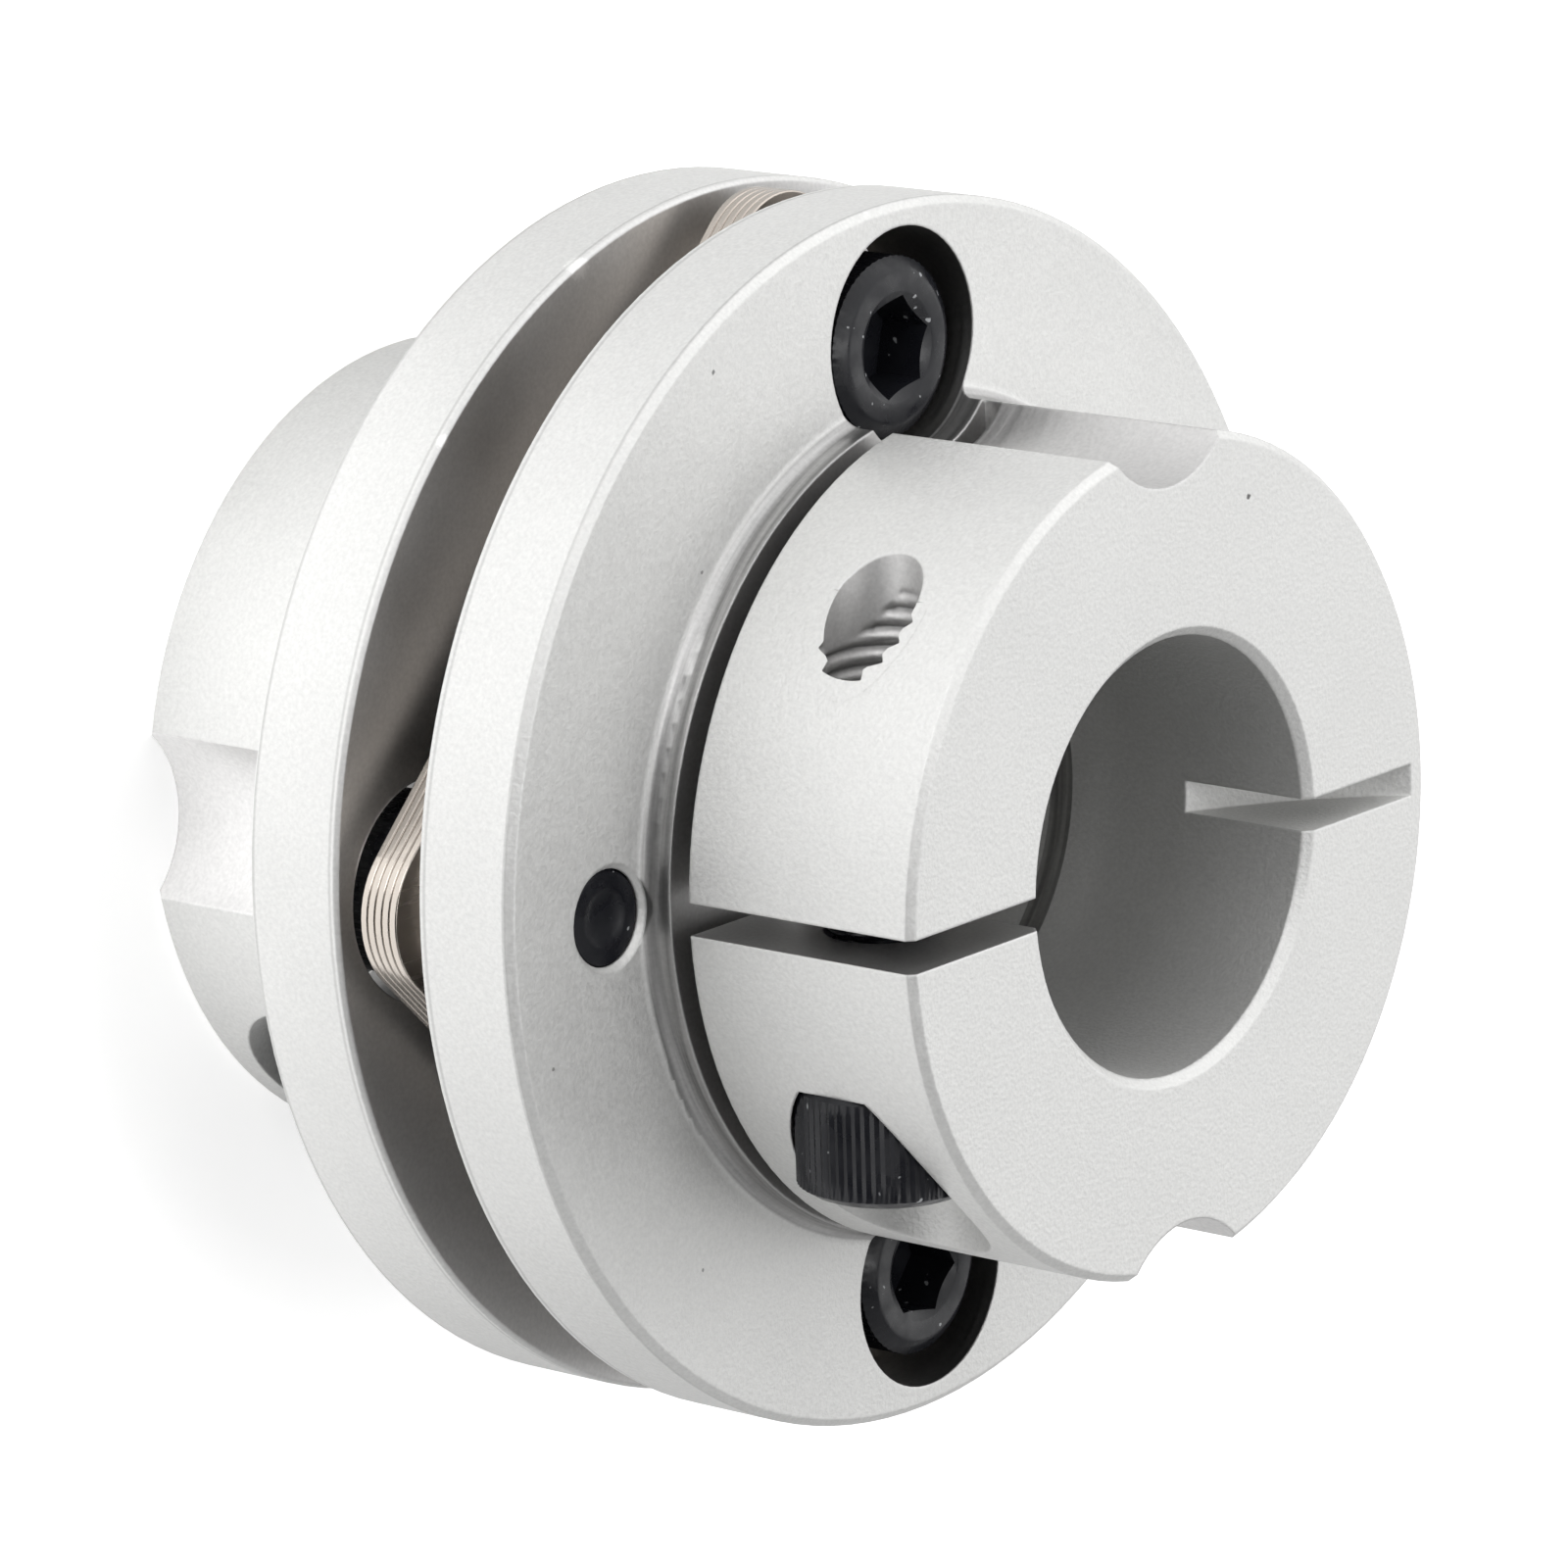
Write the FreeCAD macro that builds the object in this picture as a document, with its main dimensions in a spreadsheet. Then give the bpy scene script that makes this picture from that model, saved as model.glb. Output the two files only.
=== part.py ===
import FreeCAD, Part
import os
import re

import Sketcher
from FreeCAD import Placement, Rotation, Vector

# A single-pack disc coupling for two shafts in line: two clamp hubs of aluminium, and between their
# flanges a pack of thin spring steel leaves on spacer washers. Four cap screws hold the pack, two to
# each hub, and one cap screw across each hub's slit clamps its shaft.
# The part stands on the end of its rear hub. The shaft axis is +Z and the origin is the middle of
# that end. The front hub is on top, with its slit at -X and the heads of its pack screws at +Y and -Y.
# The rear hub is the same piece turned end for end and by a quarter, so its slit is at -Y.

# Driving sizes in millimetres, with what each one measures.
SIZES = {
    "flange_dia": (68.0, "outer diameter of a flange"),
    "flange_thick": (6.4, "thickness of a flange"),
    "hub_dia": (46.0, "outer diameter of the clamp section"),
    "hub_reach": (17.8, "clamp section, from the flange's outer face to the hub's end"),
    "bore_dia": (24.0, "shaft bore"),
    "bore_chamfer": (0.5, "chamfer at the ends of the bore"),
    "edge_chamfer": (0.4, "chamfer on the flange's outer rim and the rim of the hub's end"),
    "pack_chamfer": (0.2, "chamfer on the flange's rim beside the pack"),
    "root_fillet": (0.9, "fillet between flange and clamp section"),
    "cross_slit_height": (1.58, "cross slit above the flange's outer face"),
    "cross_slit_width": (1.35, "width of the cross slit along the axis"),
    "cross_slit_end": (5.0, "how far past the axis the cross slit runs"),
    "saw_width": (1.8, "width of the clamp slit and of the relief notch"),
    "saw_shift": (0.3, "clamp slit's middle off the axis, to the side of the screw's head"),
    "saw_dia": (63.0, "diameter of the slitting saw, which shapes the notch's floor"),
    "saw_rise": (19.1, "saw's axis above the hub's end at its deepest"),
    "saw_back": (3.4, "saw's axis off the shaft axis, to the side of the slit"),
    "screw_dia": (6.0, "thread diameter of every screw"),
    "head_dia": (10.0, "diameter of a screw's head"),
    "head_height": (6.0, "height of a screw's head"),
    "head_bevel": (0.85, "bevel round the top of a head, measured across"),
    "head_bevel_depth": (0.5, "the same bevel, measured down"),
    "socket_mouth": (6.1, "diameter of the bevel at the socket's mouth"),
    "socket_flats": (5.0, "width across the flats of the hexagon socket"),
    "socket_depth": (3.2, "depth of the hexagon socket"),
    "tip_chamfer": (0.5, "chamfer on a screw's tip"),
    "tip_depth": (0.35, "pack screw's tip below the outer face of the flange it is screwed into"),
    "tap_dia": (5.3, "drilled diameter of a tapped hole, at its open end"),
    "tap_lip": (0.45, "open end of a flange's tapped hole that keeps the drilled diameter"),
    "tap_chamfer": (0.3, "chamfer at the mouth of a tapped hole"),
    "thread_end": (16.6, "end of the clamp screw's thread from the plane of the axes"),
    "thread_play": (0.04, "radial room between a shank and its tapped hole"),
    "shank_play": (0.15, "radial room between a shank and a plain hole"),
    "head_play": (1.2, "radial room round a pack screw's head in the far flange"),
    "pitch_dia": (52.0, "circle of the four pack screws"),
    "head_hole_pitch": (53.0, "circle of the holes round the pack screws' heads"),
    "clamp_offset": (16.3, "clamp screw's axis from the shaft axis"),
    "clamp_height": (10.55, "clamp screw's axis above the flange's outer face"),
    "clamp_seat": (9.35, "seat of the clamp screw's head from the plane of the axes"),
    "clamp_length": (16.0, "length of the clamp screw under its head"),
    "clamp_room": (0.2, "radial room round the clamp screw's head"),
    "leaf_count": (5, "number of leaves in the pack"),
    "leaf_thick": (0.5, "thickness of a leaf"),
    "leaf_width": (50.8, "width of a leaf across its sides"),
    "leaf_corner": (4.8, "radius of a leaf's corners"),
    "leaf_edge": (0.12, "rounding of a leaf's edges"),
    "leaf_hole_dia": (34.0, "middle hole of a leaf"),
    "washer_dia": (10.0, "outer diameter of a spacer washer"),
    "washer_thick": (1.6, "thickness of a spacer washer"),
    "washer_chamfer": (0.2, "chamfer on a washer's rims"),
}

# What follows from them, as expressions.
BORE = "bore_dia / 2"
HUB = "hub_dia / 2"
FLANGE = "flange_dia / 2"
PITCH = "pitch_dia / 2"
HEAD_HOLE_PITCH = "head_hole_pitch / 2"
SHANK = "screw_dia / 2"
HEAD = "head_dia / 2"
HUB_LENGTH = "(flange_thick + hub_reach)"
PACK_FLOOR = f"({HUB_LENGTH} + washer_thick)"
PACK_TOP = f"({PACK_FLOOR} + leaf_count * leaf_thick)"
FRONT_FACE = f"({PACK_TOP} + washer_thick)"
LEAF_CORNER_REACH = "leaf_width / sqrt(2)"
PACK_SCREW_LENGTH = "(2 * washer_thick + leaf_count * leaf_thick + flange_thick - tip_depth)"
DRILLED = "tap_dia / 2"
TAPPED = f"{SHANK} + thread_play"
PLAIN = f"{SHANK} + shank_play"

# The screws sit at the quarters of the pitch circle, in turn on +X, +Y, -X and -Y.
QUARTERS = ((1, 0), (0, 1), (-1, 0), (0, -1))
# How far the first and the second pack screw of a side ended up turned, in degrees.
SOCKET_TURNS = (15, -10)
TINY = 1e-6


def sheet_of(doc):
    """The spreadsheet of driving sizes, one row to a size: its meaning and its number."""
    sheet = doc.addObject("Spreadsheet::Sheet", "Sizes")
    for row, (alias, (value, meaning)) in enumerate(SIZES.items(), start=1):
        sheet.set(f"A{row}", meaning)
        sheet.set(f"B{row}", str(value))
        sheet.setAlias(f"B{row}", alias)
    doc.recompute()
    return sheet


def bound(expression):
    """The expression with each size's name pointed at its cell in the sheet."""
    names = "|".join(SIZES)
    return re.sub(rf"\b({names})\b", r"Sizes.\1", expression)


def value_of(doc, expression):
    """The number that an expression of sizes comes to."""
    result = doc.Sizes.evalExpression(bound(expression))
    return float(getattr(result, "Value", result))


def place(thing, across, along, up, turn=None):
    """Bind an object's place to three expressions, after any turn."""
    if turn is not None:
        thing.Placement = Placement(Vector(), turn)
    for axis, expression in zip("xyz", (across, along, up)):
        thing.setExpression(f".Placement.Base.{axis}", bound(expression))


def new_body(doc, name):
    """An empty body whose label names its file."""
    body = doc.addObject("PartDesign::Body", name)
    body.Label = name
    return body


def new_sketch(body, name, role, offset="0"):
    """A sketch on one of the body's own planes, moved along the plane's normal."""
    plane = next(item for item in body.Origin.OriginFeatures if item.Role == role)
    sketch = body.newObject("Sketcher::SketchObject", f"{body.Name}_{name}")
    sketch.AttachmentSupport = [(plane, "")]
    sketch.MapMode = "FlatFace"
    sketch.setExpression(".AttachmentOffset.Base.z", bound(offset))
    return sketch


def pin_point(sketch, geometry, position, label, corner):
    """Hold a point of the sketch at a pair of expressions."""
    numbers = [value_of(sketch.Document, expression) for expression in corner]
    for kind, number, expression in zip(("DistanceX", "DistanceY"), numbers, corner):
        if expression == "0":
            axis = -2 if kind == "DistanceX" else -1
            sketch.addConstraint(Sketcher.Constraint("PointOnObject", geometry, position, axis))
            continue
        index = sketch.addConstraint(
            Sketcher.Constraint(kind, -1, 1, geometry, position, number))
        sketch.renameConstraint(index, f"{label}_{kind}")
        sketch.setExpression(f"Constraints.{label}_{kind}", bound(expression))


def draw_polygon(sketch, corners):
    """A closed outline of straight lines through pairs of expressions."""
    doc = sketch.Document
    points = [Vector(value_of(doc, x), value_of(doc, y), 0) for x, y in corners]
    count = len(points)
    for number in range(count):
        line = Part.LineSegment(points[number], points[(number + 1) % count])
        sketch.addGeometry(line, False)
    for number in range(count):
        following = (number + 1) % count
        sketch.addConstraint(Sketcher.Constraint("Coincident", number, 2, following, 1))
    for number, corner in enumerate(corners):
        pin_point(sketch, number, 1, f"corner{number}", corner)


def draw_circles(sketch, centres, radius):
    """Equal circles, each centre a pair of expressions."""
    doc = sketch.Document
    size = value_of(doc, radius)
    for centre in centres:
        middle = Vector(value_of(doc, centre[0]), value_of(doc, centre[1]), 0)
        number = sketch.addGeometry(Part.Circle(middle, Vector(0, 0, 1), size), False)
        pin_point(sketch, number, 3, f"centre{number}", centre)
        index = sketch.addConstraint(Sketcher.Constraint("Radius", number, size))
        sketch.renameConstraint(index, f"radius{number}")
        sketch.setExpression(f"Constraints.radius{number}", bound(radius))


def revolve(body, name, corners):
    """A turned solid: an outline of (radius, height) pairs, taken once round the body's axis."""
    sketch = new_sketch(body, f"{name}_section", "XZ_Plane")
    draw_polygon(sketch, corners)
    solid = body.newObject("PartDesign::Revolution", f"{body.Name}_{name}")
    solid.Profile = sketch
    solid.ReferenceAxis = (sketch, ["V_Axis"])
    solid.Angle = 360
    body.Document.recompute()
    return solid


def pad(body, name, sketch, length):
    """A sketch raised along its normal."""
    solid = body.newObject("PartDesign::Pad", f"{body.Name}_{name}")
    solid.Profile = sketch
    solid.setExpression("Length", bound(length))
    body.Document.recompute()
    return solid


def cut(body, name, sketch, along_normal=False, length=None, both_ways=False, taper=0):
    """A sketch cut out of the body, through all of it or to a length, which must remove something.

    A taper below zero, in degrees, narrows the cut on its way in.
    """
    before = body.Shape.Volume
    pocket = body.newObject("PartDesign::Pocket", f"{body.Name}_{name}")
    pocket.Profile = sketch
    pocket.Reversed = along_normal
    if both_ways:
        pocket.SideType = "Symmetric"
    if length is None:
        pocket.Type = "ThroughAll"
    else:
        pocket.setExpression("Length", bound(length))
    pocket.TaperAngle = taper
    body.Document.recompute()
    if pocket.Shape.Volume > before - TINY:
        raise RuntimeError(f"{pocket.Name} removes nothing")
    return pocket


def rims(shape, radius, height):
    """Names of the shape's round edges of that radius at that height."""
    names = []
    for number, edge in enumerate(shape.Edges, start=1):
        curve = edge.Curve
        if not isinstance(curve, Part.Circle):
            continue
        if abs(curve.Radius - radius) < TINY and abs(curve.Center.z - height) < TINY:
            names.append(f"Edge{number}")
    return names


def dress(body, kind, name, names, size, property_name):
    """A fillet or chamfer of one size on the body's named edges or faces."""
    feature = body.newObject(f"PartDesign::{kind}", f"{body.Name}_{name}")
    feature.Base = (body.Tip if body.Tip != feature else feature.BaseFeature, names)
    feature.setExpression(property_name, bound(size))
    body.Document.recompute()
    return feature


def fillet(body, name, names, size):
    """Round the named edges or faces."""
    return dress(body, "Fillet", name, names, size, "Radius")


def chamfer(body, name, names, size):
    """Bevel the named edges or faces."""
    return dress(body, "Chamfer", name, names, size, "Size")


def turned_blank(body):
    """Flange and clamp section with their bore: the turned part of a hub, pack face on z = 0."""
    doc = body.Document
    revolve(body, "blank", [
        (f"{BORE} + bore_chamfer", "0"),
        (f"{FLANGE} - pack_chamfer", "0"),
        (FLANGE, "pack_chamfer"),
        (FLANGE, "flange_thick - edge_chamfer"),
        (f"{FLANGE} - edge_chamfer", "flange_thick"),
        (HUB, "flange_thick"),
        (HUB, f"{HUB_LENGTH} - edge_chamfer"),
        (f"{HUB} - edge_chamfer", HUB_LENGTH),
        (f"{BORE} + bore_chamfer", HUB_LENGTH),
        (BORE, f"{HUB_LENGTH} - bore_chamfer"),
        (BORE, "bore_chamfer"),
    ])
    root = rims(body.Shape, value_of(doc, HUB), value_of(doc, "flange_thick"))
    fillet(body, "root", root, "root_fillet")


def flange_holes(body):
    """Holes for the far screws' heads on Y, which run on as scallops, and tapped holes on X."""
    doc = body.Document
    heads = new_sketch(body, "head_circles", "XY_Plane")
    draw_circles(heads, [("0", HEAD_HOLE_PITCH), ("0", f"-{HEAD_HOLE_PITCH}")],
                 f"{HEAD} + head_play")
    cut(body, "head_holes", heads, along_normal=True)
    centres = [(PITCH, "0"), (f"-{PITCH}", "0")]
    drilled = new_sketch(body, "drilled_circles", "XY_Plane")
    draw_circles(drilled, centres, DRILLED)
    cut(body, "drilled_holes", drilled, along_normal=True)
    tapped = new_sketch(body, "tapped_circles", "XY_Plane")
    draw_circles(tapped, centres, TAPPED)
    cut(body, "tapped_holes", tapped, along_normal=True, length="flange_thick - tap_lip")
    chamfer(body, "pack_mouths", rims(body.Shape, value_of(doc, TAPPED), 0), "tap_chamfer")
    mouths = new_sketch(body, "outer_mouth_circles", "XY_Plane", "flange_thick")
    draw_circles(mouths, centres, f"{DRILLED} + tap_chamfer")
    cut(body, "outer_mouths", mouths, length="tap_chamfer", taper=-45)
    # Where a mouth meets the root fillet, it goes on up through it.
    above = new_sketch(body, "fillet_mouth_circles", "XY_Plane", "flange_thick - tap_chamfer / 8")
    draw_circles(above, centres, f"{DRILLED} + tap_chamfer * 7 / 8")
    cut(body, "fillet_mouths", above, along_normal=True)


def slits(body):
    """Cross slit, clamp slit and relief notch, the last two from one saw plane beside the axis."""
    beyond = "flange_dia"
    floor = "(flange_thick + cross_slit_height)"
    roof = f"({floor} + cross_slit_width)"
    cross = new_sketch(body, "cross_slit_section", "XZ_Plane")
    draw_polygon(cross, [(f"-{beyond}", floor), ("cross_slit_end", floor),
                         ("cross_slit_end", roof), (f"-{beyond}", roof)])
    cut(body, "cross_slit", cross, both_ways=True)

    near = "(-saw_shift - saw_width / 2)"
    far = "(-saw_shift + saw_width / 2)"
    middle = f"{floor} + cross_slit_width / 2"
    clamp = new_sketch(body, "clamp_slit_outline", "XY_Plane", middle)
    draw_polygon(clamp, [(f"-{beyond}", near), ("0", near), ("0", far), (f"-{beyond}", far)])
    cut(body, "clamp_slit", clamp, along_normal=True)

    saw = new_sketch(body, "saw_circle", "XZ_Plane", f"-{far}")
    draw_circles(saw, [("-saw_back", f"{HUB_LENGTH} + saw_rise")], "saw_dia / 2")
    cut(body, "relief_notch", saw, along_normal=True, length="saw_width")


def clamp_screw_hole(body):
    """Counterbore and plain hole from -Y to the slit, and past it the tapped hole out to +Y."""
    centre = [("-clamp_offset", "flange_thick + clamp_height")]
    seat = new_sketch(body, "counterbore_circle", "XZ_Plane", "clamp_seat")
    draw_circles(seat, centre, f"{HEAD} + clamp_room")
    cut(body, "counterbore", seat, along_normal=True)
    plain = new_sketch(body, "plain_circle", "XZ_Plane")
    draw_circles(plain, centre, PLAIN)
    cut(body, "plain_hole", plain, along_normal=True)
    drilled = new_sketch(body, "drilled_circle", "XZ_Plane")
    draw_circles(drilled, centre, DRILLED)
    cut(body, "drilled_hole", drilled)
    tapped = new_sketch(body, "tapped_circle", "XZ_Plane")
    draw_circles(tapped, centre, TAPPED)
    cut(body, "tapped_hole", tapped, length="thread_end")


def clamp_hub(doc, name):
    """A hub in its own frame: pack face on z = 0, shaft side up, slit at -X."""
    body = new_body(doc, name)
    turned_blank(body)
    flange_holes(body)
    slits(body)
    clamp_screw_hole(body)
    return body


def cap_screw(doc, name, length):
    """A socket head cap screw in its own frame: seat of the head on z = 0, head up, shank down."""
    body = new_body(doc, name)
    revolve(body, "blank", [
        ("0", f"-{length}"),
        (f"{SHANK} - tip_chamfer", f"-{length}"),
        (SHANK, f"-{length} + tip_chamfer"),
        (SHANK, "0"),
        (HEAD, "0"),
        (HEAD, "head_height - head_bevel_depth"),
        (f"{HEAD} - head_bevel", "head_height"),
        ("socket_mouth / 2", "head_height"),
        ("0", "head_height - socket_mouth / 2 / sqrt(3)"),
    ])
    hexagon = new_sketch(body, "hexagon", "XY_Plane", "head_height")
    half_side = "socket_flats / 2 / sqrt(3)"
    point = "socket_flats / sqrt(3)"
    flat = "socket_flats / 2"
    draw_polygon(hexagon, [(point, "0"), (half_side, flat), (f"-{half_side}", flat),
                           (f"-{point}", "0"), (f"-{half_side}", f"-{flat}"),
                           (half_side, f"-{flat}")])
    cut(body, "socket", hexagon, length="socket_depth")
    return body


def disc_leaf(doc, name):
    """One leaf: a square on its corner with rounded corners, a middle hole and four screw holes."""
    body = new_body(doc, name)
    outline = new_sketch(body, "outline", "XY_Plane")
    reach = LEAF_CORNER_REACH
    draw_polygon(outline, [(reach, "0"), ("0", reach), (f"-{reach}", "0"), ("0", f"-{reach}")])
    pad(body, "sheet", outline, "leaf_thick")
    upright = [f"Edge{number}" for number, edge in enumerate(body.Shape.Edges, start=1)
               if abs(edge.tangentAt(edge.FirstParameter).z) > 1 - TINY]
    fillet(body, "corners", upright, "leaf_corner")
    flats = [f"Face{number}" for number, face in enumerate(body.Shape.Faces, start=1)
             if abs(face.normalAt(0, 0).z) > 1 - TINY]
    fillet(body, "edges", flats, "leaf_edge")
    middle = new_sketch(body, "middle_circle", "XY_Plane")
    draw_circles(middle, [("0", "0")], "leaf_hole_dia / 2")
    cut(body, "middle_hole", middle, along_normal=True)
    holes = new_sketch(body, "screw_circles", "XY_Plane")
    draw_circles(holes, [quarter_place(quarter) for quarter in QUARTERS], PLAIN)
    cut(body, "screw_holes", holes, along_normal=True)
    return body


def spacer_washer(doc, name):
    """A thick washer that holds the pack off a flange or carries a screw's head."""
    body = new_body(doc, name)
    rim = "washer_dia / 2"
    revolve(body, "ring", [
        (PLAIN, "0"),
        (f"{rim} - washer_chamfer", "0"),
        (rim, "washer_chamfer"),
        (rim, "washer_thick - washer_chamfer"),
        (f"{rim} - washer_chamfer", "washer_thick"),
        (PLAIN, "washer_thick"),
    ])
    return body


def quarter_place(quarter):
    """The pair of expressions for a screw's place on the pitch circle."""
    signs = {1: PITCH, 0: "0", -1: f"-{PITCH}"}
    return signs[quarter[0]], signs[quarter[1]]


def hubs(doc):
    """The front hub, and the rear one turned end for end with its slit at -Y."""
    front = clamp_hub(doc, "front_hub")
    place(front, "0", "0", FRONT_FACE)
    rear = clamp_hub(doc, "rear_hub")
    place(rear, "0", "0", HUB_LENGTH, Rotation(Vector(1, 1, 0), 180))
    return [front, rear]


def disc_pack(doc):
    """The leaves on each other, between two washers at each screw."""
    pieces = []
    for number in range(SIZES["leaf_count"][0]):
        leaf = disc_leaf(doc, f"disc_leaf_{number + 1}")
        place(leaf, "0", "0", f"{PACK_FLOOR} + {number} * leaf_thick")
        pieces.append(leaf)
    for side, height in (("rear", HUB_LENGTH), ("front", PACK_TOP)):
        for number, quarter in enumerate(QUARTERS, start=1):
            washer = spacer_washer(doc, f"{side}_washer_{number}")
            place(washer, *quarter_place(quarter), height)
            pieces.append(washer)
    return pieces


def pack_screws(doc):
    """Screws on Y with heads to the front hub, and on X with heads to the rear hub."""
    upside_down = Rotation(Vector(1, 0, 0), 180)
    pieces = []
    for side, height, turn in (("front", FRONT_FACE, Rotation()),
                               ("rear", HUB_LENGTH, upside_down)):
        line = 1 if side == "front" else 0
        quarters = [quarter for quarter in QUARTERS if quarter[line]]
        for number, quarter in enumerate(quarters, start=1):
            screw = cap_screw(doc, f"{side}_pack_screw_{number}", PACK_SCREW_LENGTH)
            spin = Rotation(Vector(0, 0, 1), SOCKET_TURNS[number - 1])
            place(screw, *quarter_place(quarter), height, turn * spin)
            pieces.append(screw)
    return pieces


def clamp_screws(doc):
    """The screw across each hub's slit: the front one's head to -Y, the rear one's to -X."""
    front = cap_screw(doc, "front_clamp_screw", "clamp_length")
    place(front, "-clamp_offset", "-clamp_seat", f"{FRONT_FACE} + flange_thick + clamp_height",
          Rotation(Vector(1, 0, 0), 90))
    rear = cap_screw(doc, "rear_clamp_screw", "clamp_length")
    place(rear, "-clamp_seat", "-clamp_offset", "hub_reach - clamp_height",
          Rotation(Vector(0, 1, 0), -90))
    return [front, rear]


def check(doc, pieces):
    """Stop if any object failed or any piece isn't one whole solid."""
    for thing in doc.Objects:
        if {"Invalid", "Error"} & set(thing.State):
            raise RuntimeError(f"{thing.Label} failed")
    for piece in pieces:
        shape = piece.Shape
        if shape.isNull() or not shape.isValid() or len(shape.Solids) != 1:
            raise RuntimeError(f"{piece.Label} is not one whole solid")


def write(pieces):
    """One STEP file to a piece, named by its label."""
    os.makedirs("parts", exist_ok=True)
    for piece in pieces:
        piece.Shape.exportStep(f"parts/{piece.Label}.step")
        print(f"{piece.Label}: {piece.Shape.Volume:.2f} mm3")


def main():
    doc = FreeCAD.newDocument("disc_coupling")
    sheet_of(doc)
    pieces = hubs(doc) + disc_pack(doc) + pack_screws(doc) + clamp_screws(doc)
    doc.recompute()
    check(doc, pieces)
    write(pieces)


main()
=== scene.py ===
import math
from types import SimpleNamespace

import bpy
import numpy as np
from bpy.props import FloatProperty, FloatVectorProperty, IntProperty, PointerProperty
from mathutils import Matrix, Vector


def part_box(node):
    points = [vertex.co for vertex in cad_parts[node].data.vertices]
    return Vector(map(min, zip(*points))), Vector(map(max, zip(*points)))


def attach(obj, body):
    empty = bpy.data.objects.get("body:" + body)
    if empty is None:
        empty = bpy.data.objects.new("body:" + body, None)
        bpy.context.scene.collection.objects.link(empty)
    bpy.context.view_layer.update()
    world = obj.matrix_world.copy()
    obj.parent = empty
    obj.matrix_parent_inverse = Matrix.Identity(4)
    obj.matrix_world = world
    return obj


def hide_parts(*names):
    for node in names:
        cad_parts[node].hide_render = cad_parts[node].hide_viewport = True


bl_info = {
    "name": "Disc coupling",
    "version": (1, 0, 0),
    "blender": (4, 5, 0),
    "location": "3D View > Sidebar > Coupling",
    "description": "Finishes, cap screws and studio of a disc coupling with two clamp hubs",
    "category": "Add Mesh",
}

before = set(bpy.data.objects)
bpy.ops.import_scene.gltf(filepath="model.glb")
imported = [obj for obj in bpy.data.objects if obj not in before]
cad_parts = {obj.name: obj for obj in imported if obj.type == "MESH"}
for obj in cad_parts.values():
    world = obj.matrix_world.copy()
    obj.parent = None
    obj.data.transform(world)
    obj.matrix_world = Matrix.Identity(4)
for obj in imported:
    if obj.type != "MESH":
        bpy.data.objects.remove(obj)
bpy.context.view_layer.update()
MM = 0.001
WHOLE_TURN = 2 * math.pi

# Half the soft edge of a zone of a finish, and how far a zone reaches past the wall it covers.
SOFT_EDGE = 0.03 * MM
SKIN = 0.05 * MM
# Bands on a hub: round the clamp section's root, which starts a little above the flange,
# where a tool left its lines and the band is also darkened as painted shade of the crease; and a
# thin line of painted shade round the rim, whose line is measured from the nearer face.
ROOT_BAND = 0.8 * MM
ROOT_START = 0.07 * MM
RIM_BAND = 0.5 * MM
RIM_SHADE_MIDDLE = 0.48 * MM
RIM_SHADE_HALF = 0.09 * MM

HUBS = ("front_hub", "rear_hub")
PACK_SCREWS = ("front_pack_screw_1", "front_pack_screw_2", "rear_pack_screw_1",
               "rear_pack_screw_2")
CLAMP_SCREWS = ("front_clamp_screw", "rear_clamp_screw")

# Edges of a new piece's mesh stay sharp over this angle.
SHARP_ANGLE = math.radians(38)

# Bare stretch of a screw's shank under its head.
BARE_SHANK = 0.4 * MM

# Thread in a clamp ear: its grid, how far it stands inside the drilled wall, and how far it
# runs on past its end. Its lands lie just over the hub's round surface.
THREAD_COLUMNS = 384
THREAD_ROWS = 110
THREAD_INSET = 0.015 * MM
THREAD_RUN_ON = 0.6 * MM
LAND_ROWS = 6
LAND_REACH = 0.45 * MM
LAND_LIFT = 0.008 * MM

# Small nicks and pits on the hubs: a place and a radius in millimetres, and how bright it is.
MARKS = {
    "front_hub": (((-7.5, 33.5, 30.0), 0.4, 1.25), ((-2.5, 34.0, 36.3), 0.35, 1.25),
                  ((-16.0, 27.5, 36.3), 0.13, 0.35), ((-17.5, 17.0, 36.3), 0.09, 0.5),
                  ((-31.0, -7.0, 36.3), 0.1, 0.5), ((-19.5, -21.0, 36.3), 0.1, 0.5),
                  ((7.0, 18.5, 54.1), 0.14, 0.25)),
    "rear_hub": (((-12.5, 31.5, 24.2), 0.7, 1.3), ((-24.0, 24.0, 24.2), 0.4, 1.3)),
}

# Pools of light in the sky: a direction, where the pool starts and is full along it, its level.
SKY_POOLS = (((0.7, 0.7, 0.3), 0.1, 1.0, 1.4), ((0, -1, 0.1), 0.1, 1.0, 0.6),
             ((0.1, 0.8, 0.6), 0.1, 1.0, 0.3))
# The same on the floor, in metres from the middle, for the metal that mirrors it.
FLOOR_POOLS = (((-1, 0, 0), 0.0, 0.1, 0.6), ((-0.7, 0.7, 0), 0.0, 0.1, 0.25))
NEAR_POOL = ((-1, 0, 0), 0.0, 0.035, 1.2)
# Square lamps: a name, a place and a power in watts.
LAMPS = (("left", (-0.55, 0.45, 0.15), 1.6), ("above", (-0.1, 0.05, 0.75), 1.25),
         ("lens_side", (-0.3, 0.35, 0.5), 0.4), ("right", (0.5, -0.15, 0.45), 0.3))
# The point that every lamp is turned to.
LAMP_AIM = Vector((0, 0, 0.03))


def size_of(name, value_mm, description):
    """A length that a user may change, given in millimetres."""
    return FloatProperty(name=name, description=description, default=value_mm * MM,
                         min=0.0, precision=5, unit="LENGTH")


def colour_of(name, rgb, description):
    """A linear colour that a user may change."""
    return FloatVectorProperty(name=name, description=description, default=rgb, size=3,
                               min=0.0, max=1.0, subtype="COLOR")


def number_of(name, value, description, top=1.0):
    """A plain number that a user may change."""
    return FloatProperty(name=name, description=description, default=value, min=0.0, max=top)


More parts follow.
